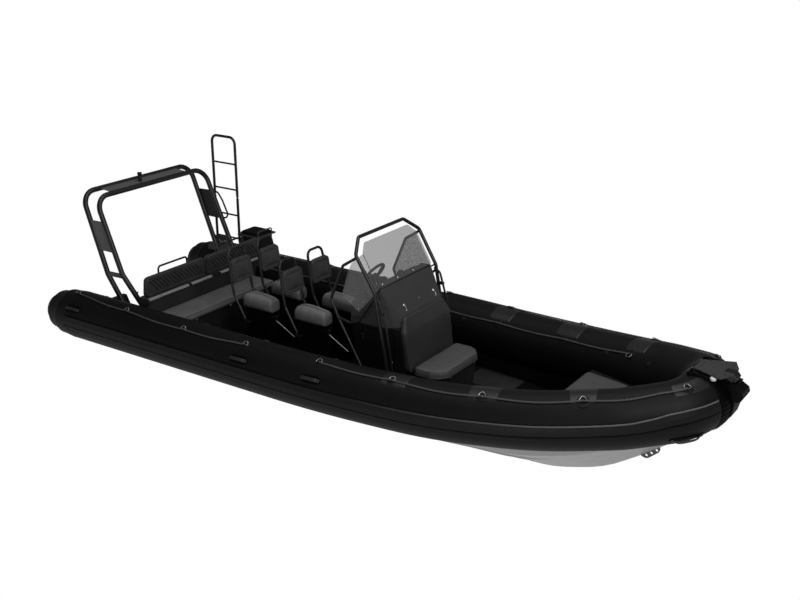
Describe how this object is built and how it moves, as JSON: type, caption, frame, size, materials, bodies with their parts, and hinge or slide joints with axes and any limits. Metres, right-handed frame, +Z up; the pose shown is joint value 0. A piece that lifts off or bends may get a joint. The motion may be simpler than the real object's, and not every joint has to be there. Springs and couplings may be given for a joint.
{
  "type": "rigid inflatable boat",
  "caption": "Rigid inflatable patrol boat with a black air collar, alloy hull, console with windscreen, straddle seats, aft bench, stern arch and folding ladder.",
  "frame": {"origin": "on the centreline, amidships, at the waterline", "axes": "+X to the bow, +Y to port, +Z up"},
  "size_m": [8.253, 3.0492, 2.7195],
  "materials": {
    "hypalon": "black coated fabric, satin",
    "hull_paint": "light grey-white paint",
    "deck_paint": "dark grey non-skid paint",
    "console_paint": "dark grey satin paint",
    "frame_black": "black powder coat",
    "plate_grey": "grey powder coat",
    "cushion": "dark grey vinyl",
    "black_rubber": "moulded black rubber",
    "glass": "smoked acrylic",
    "bright_alloy": "anodised",
    "stainless": "polished"
  },
  "bodies": {
    "boat": {"collar_port": "hypalon", "collar_starboard": "hypalon", "collar_bow": "hypalon", "stern_cones": "hypalon", "hull": "hull_paint", "deck": "deck_paint", "transom": "hull_paint", "bow_deck": "deck_paint", "bow_step": "plate_grey", "bow_fender": "black_rubber", "tow_eye": "bright_alloy", "console": "console_paint", "windscreen": "glass", "guard_hoop": "frame_black", "console_rails": "frame_black", "helm": "frame_black", "console_seat_base": "console_paint", "console_backrest": "cushion", "jockey_pods": "frame_black", "jockey_cushions": "cushion", "jockey_backrests": "cushion", "jockey_frames": "frame_black", "bench_base": "console_paint", "bench_back": "plate_grey", "bench_backrests": "cushion", "grab_rails": "frame_black", "arch_front": "frame_black", "arch_rear": "frame_black", "arch_plank": "plate_grey", "arch_plates": "plate_grey", "arch_light": "frame_black", "ladder_bracket": "plate_grey", "boarding_step": "plate_grey", "rub_strakes": "black_rubber", "carry_handles": "black_rubber", "bow_lamps": "bright_alloy", "console_pod": "plate_grey", "screen_wings": "glass", "throttle": "frame_black", "foot_bars": "stainless"},
    "wheel": {"steering_wheel": "frame_black"},
    "roller": {"bow_roller": "black_rubber"},
    "seat_lid": {"console_seat_lid": "cushion"},
    "bench_seat": {"bench_lid": "cushion"},
    "locker_lid": {"bow_locker_lid": "plate_grey"},
    "ladder_foot": {"ladder_lower": "frame_black"},
    "ladder_head": {"ladder_upper": "frame_black"}
  },
  "joints": [
    {"name": "steering", "type": "hinge", "parent": "boat", "child": "wheel", "pos_m": [-0.005, 0, 1.312], "axis": [-0.8192, 0, 0.5736], "range_deg": [-720, 720]},
    {"name": "roller_spin", "type": "hinge", "parent": "boat", "child": "roller", "pos_m": [4.092, 0, 1.112], "axis": [0, 1, 0], "continuous": true},
    {"name": "console_seat_hinge", "type": "hinge", "parent": "boat", "child": "seat_lid", "pos_m": [1.144, 0, 0.458], "axis": [0, 1, 0], "range_deg": [0, 95]},
    {"name": "bench_hinge", "type": "hinge", "parent": "boat", "child": "bench_seat", "pos_m": [-2.227, 0, 0.508], "axis": [0, 1, 0], "range_deg": [0, 92]},
    {"name": "locker_hinge", "type": "hinge", "parent": "boat", "child": "locker_lid", "pos_m": [2.974, 0, 0.557], "axis": [0, 1, 0], "range_deg": [0, 95]},
    {"name": "ladder_swing", "type": "hinge", "parent": "boat", "child": "ladder_foot", "pos_m": [-3.3125, 1.18, 0.85], "axis": [1, 0, 0], "range_deg": [-95, 0]},
    {"name": "ladder_fold", "type": "hinge", "parent": "ladder_foot", "child": "ladder_head", "pos_m": [-3.3125, 1.18, 1.51], "axis": [1, 0, 0], "range_deg": [-85, 0]}
  ]
}
